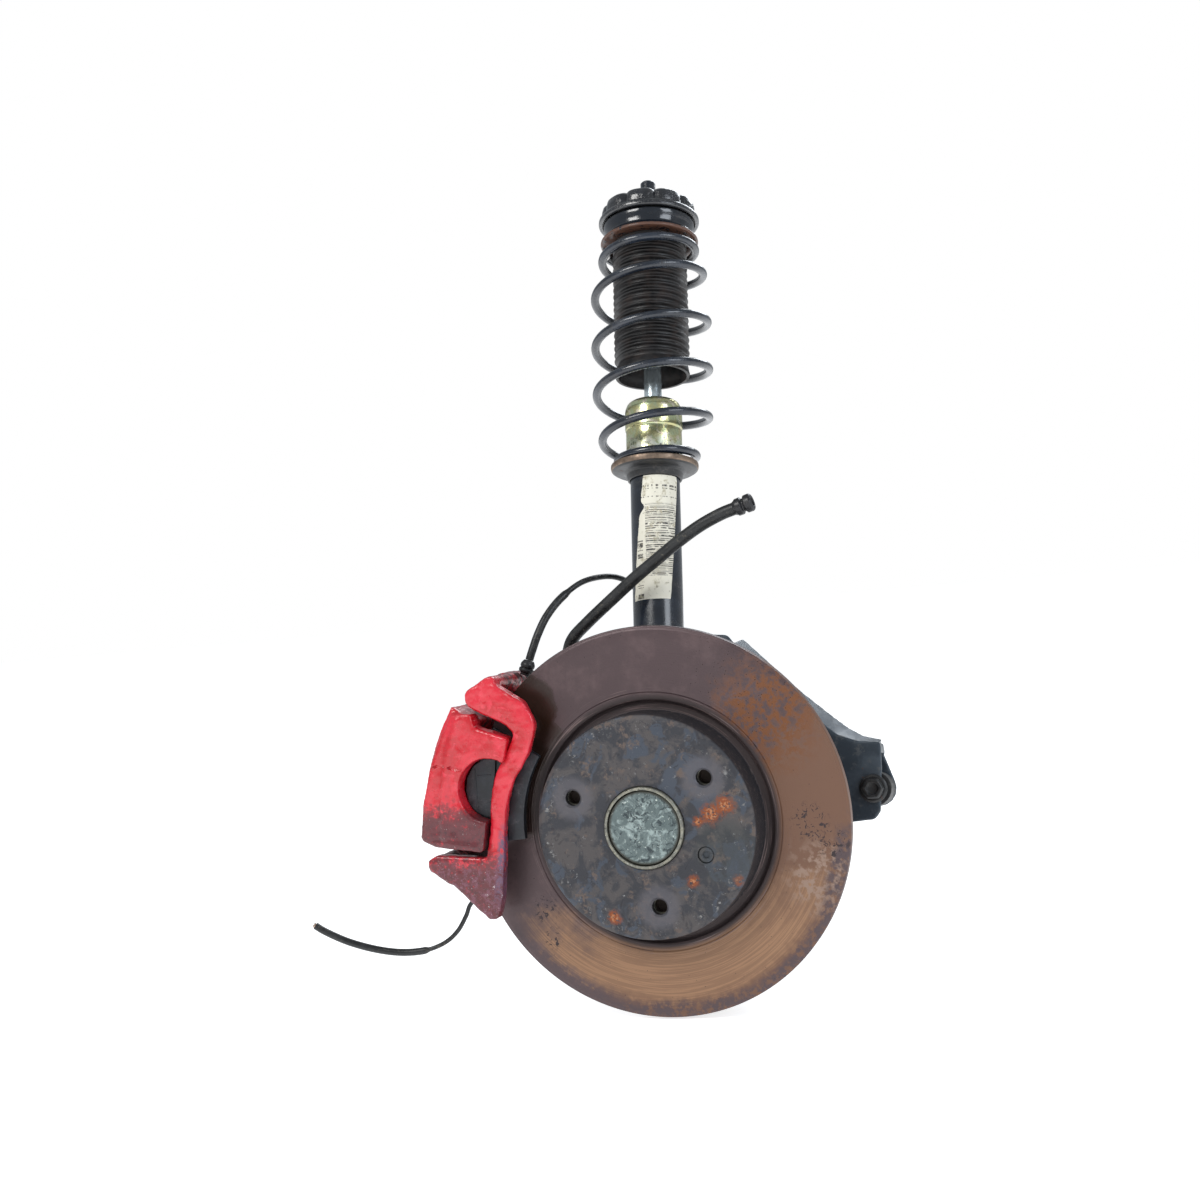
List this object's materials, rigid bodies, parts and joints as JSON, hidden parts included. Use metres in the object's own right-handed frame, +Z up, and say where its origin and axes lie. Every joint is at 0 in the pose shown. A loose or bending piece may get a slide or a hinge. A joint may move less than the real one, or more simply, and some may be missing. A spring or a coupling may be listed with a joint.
{
  "type": "suspension strut assembly",
  "caption": "Front suspension strut leg: damper with coil spring, knuckle and hub, solid brake disc with red floating caliper, hose, sensor leads and folded lower arm.",
  "frame": {"origin": "centre of the top mount's seating plane, on the strut's axis", "axes": "+Z up as fitted to the car, -Y outboard (the wheel's side), +X along the car; the strut leans 12.4 degrees towards +Y at its top"},
  "size_m": [0.441, 0.2354, 0.6416],
  "materials": {
    "black_gloss_paint": "gloss",
    "black_steel": "satin",
    "arm_steel": "satin",
    "rubber": "matte",
    "black_plastic": "matte",
    "chromed_rod": "polished",
    "yellow_zinc": "satin",
    "zinc_steel": "satin",
    "galvanised_cap": "mottled",
    "cast_iron": "rough",
    "rusty_disc": "surface rust",
    "red_paint": "chipped gloss",
    "pad_lining": "rough"
  },
  "bodies": {
    "top_mount": {"top_mount_cap": "black_gloss_paint", "top_mount_rubber": "rubber", "mount_sleeve": "zinc_steel", "upper_bearing_race": "zinc_steel", "piston_rod": "chromed_rod", "rod_nut": "zinc_steel", "bump_stop": "rubber"},
    "spring_carrier": {"lower_bearing_race": "zinc_steel", "upper_spring_seat": "black_gloss_paint", "coil_spring": "black_gloss_paint", "dust_boot": "rubber"},
    "knuckle": {"damper_tube": "black_gloss_paint", "rod_guide": "zinc_steel", "damper_top_cap": "yellow_zinc", "lower_spring_seat": "black_steel", "lower_spring_pad": "rubber", "tube_lead_clip": "black_steel", "steering_knuckle": "cast_iron", "pinch_bolt": "zinc_steel", "bracket_bolt_upper": "zinc_steel", "bracket_bolt_lower": "zinc_steel", "bearing_inner_ring": "zinc_steel", "axle_nut": "zinc_steel", "abs_sensor": "black_plastic", "caliper_bracket": "red_paint", "wear_sensor_lead": "rubber", "lead_ferrule": "black_plastic", "lead_connector": "black_plastic", "abs_sensor_lead": "rubber", "ball_stud": "zinc_steel"},
    "wheel_end": {"brake_disc": "rusty_disc", "wheel_hub": "cast_iron", "disc_locating_screw": "rusty_disc", "hub_dust_cap": "galvanised_cap", "bearing_outer_ring": "zinc_steel", "abs_ring": "zinc_steel"},
    "bearing_cage": {"bearing_ball_cage": "zinc_steel"},
    "caliper": {"caliper_body": "red_paint", "piston_boot": "rubber", "guide_pin_upper": "zinc_steel", "guide_pin_lower": "zinc_steel", "guide_pin_boot_upper": "rubber", "guide_pin_boot_lower": "rubber", "bleed_screw": "zinc_steel", "banjo_fitting": "zinc_steel", "banjo_bolt": "zinc_steel", "brake_hose": "rubber", "hose_end_fitting": "black_steel"},
    "outer_pad": {"outer_pad_plate": "black_steel", "outer_pad_lining": "pad_lining"},
    "piston": {"caliper_piston": "zinc_steel", "inner_pad_plate": "black_steel", "inner_pad_lining": "pad_lining"},
    "ball_liner": {"ball_joint_liner": "black_plastic"},
    "arm": {"lower_arm": "arm_steel", "ball_joint_housing": "black_steel", "front_arm_bush": "rubber", "front_bush_bolt": "black_steel", "front_bush_nut": "zinc_steel", "rear_arm_bush": "rubber"}
  },
  "joints": [
    {"name": "steer", "type": "hinge", "parent": "top_mount", "child": "spring_carrier", "pos_m": [0, 0, 0], "axis": [0, 0.2147, 0.9767], "range_deg": [-35, 35]},
    {"name": "strut_travel", "type": "slide", "parent": "spring_carrier", "child": "knuckle", "axis": [0, 0.2147, 0.9767], "range_m": [0, 0.06], "stiffness_N_per_m": 20000, "springref_m": -0.002, "deforming": ["coil_spring"]},
    {"name": "wheel_spin", "type": "hinge", "parent": "knuckle", "child": "wheel_end", "pos_m": [0.0113, -0.16382, -0.47994], "axis": [0, -1, 0], "continuous": true},
    {"name": "cage_spin", "type": "hinge", "parent": "knuckle", "child": "bearing_cage", "pos_m": [0.0113, -0.16382, -0.47994], "axis": [0, -1, 0], "continuous": true},
    {"name": "caliper_float", "type": "slide", "parent": "knuckle", "child": "caliper", "axis": [0, -1, 0], "range_m": [0, 0.003], "deforming": ["guide_pin_boot_upper", "guide_pin_boot_lower"]},
    {"name": "piston_slide", "type": "slide", "parent": "caliper", "child": "piston", "axis": [0, 1, 0], "range_m": [0, 0.003]},
    {"name": "outer_pad_slide", "type": "slide", "parent": "knuckle", "child": "outer_pad", "axis": [0, 1, 0], "range_m": [0, 0.0005]},
    {"name": "ball_swivel", "type": "hinge", "parent": "knuckle", "child": "ball_liner", "pos_m": [0.0313, -0.08582, -0.57994], "axis": [0, 0.766, -0.6428], "range_deg": [0, 10]},
    {"name": "arm_tilt", "type": "hinge", "parent": "ball_liner", "child": "arm", "pos_m": [0.0313, -0.08582, -0.57994], "axis": [-1, 0, 0], "range_deg": [0, 60]}
  ],
  "couplings": [
    {"joint": "cage_spin", "follows": "wheel_spin", "ratio": 0.42},
    {"joint": "piston_slide", "follows": "caliper_float", "ratio": 1}
  ]
}
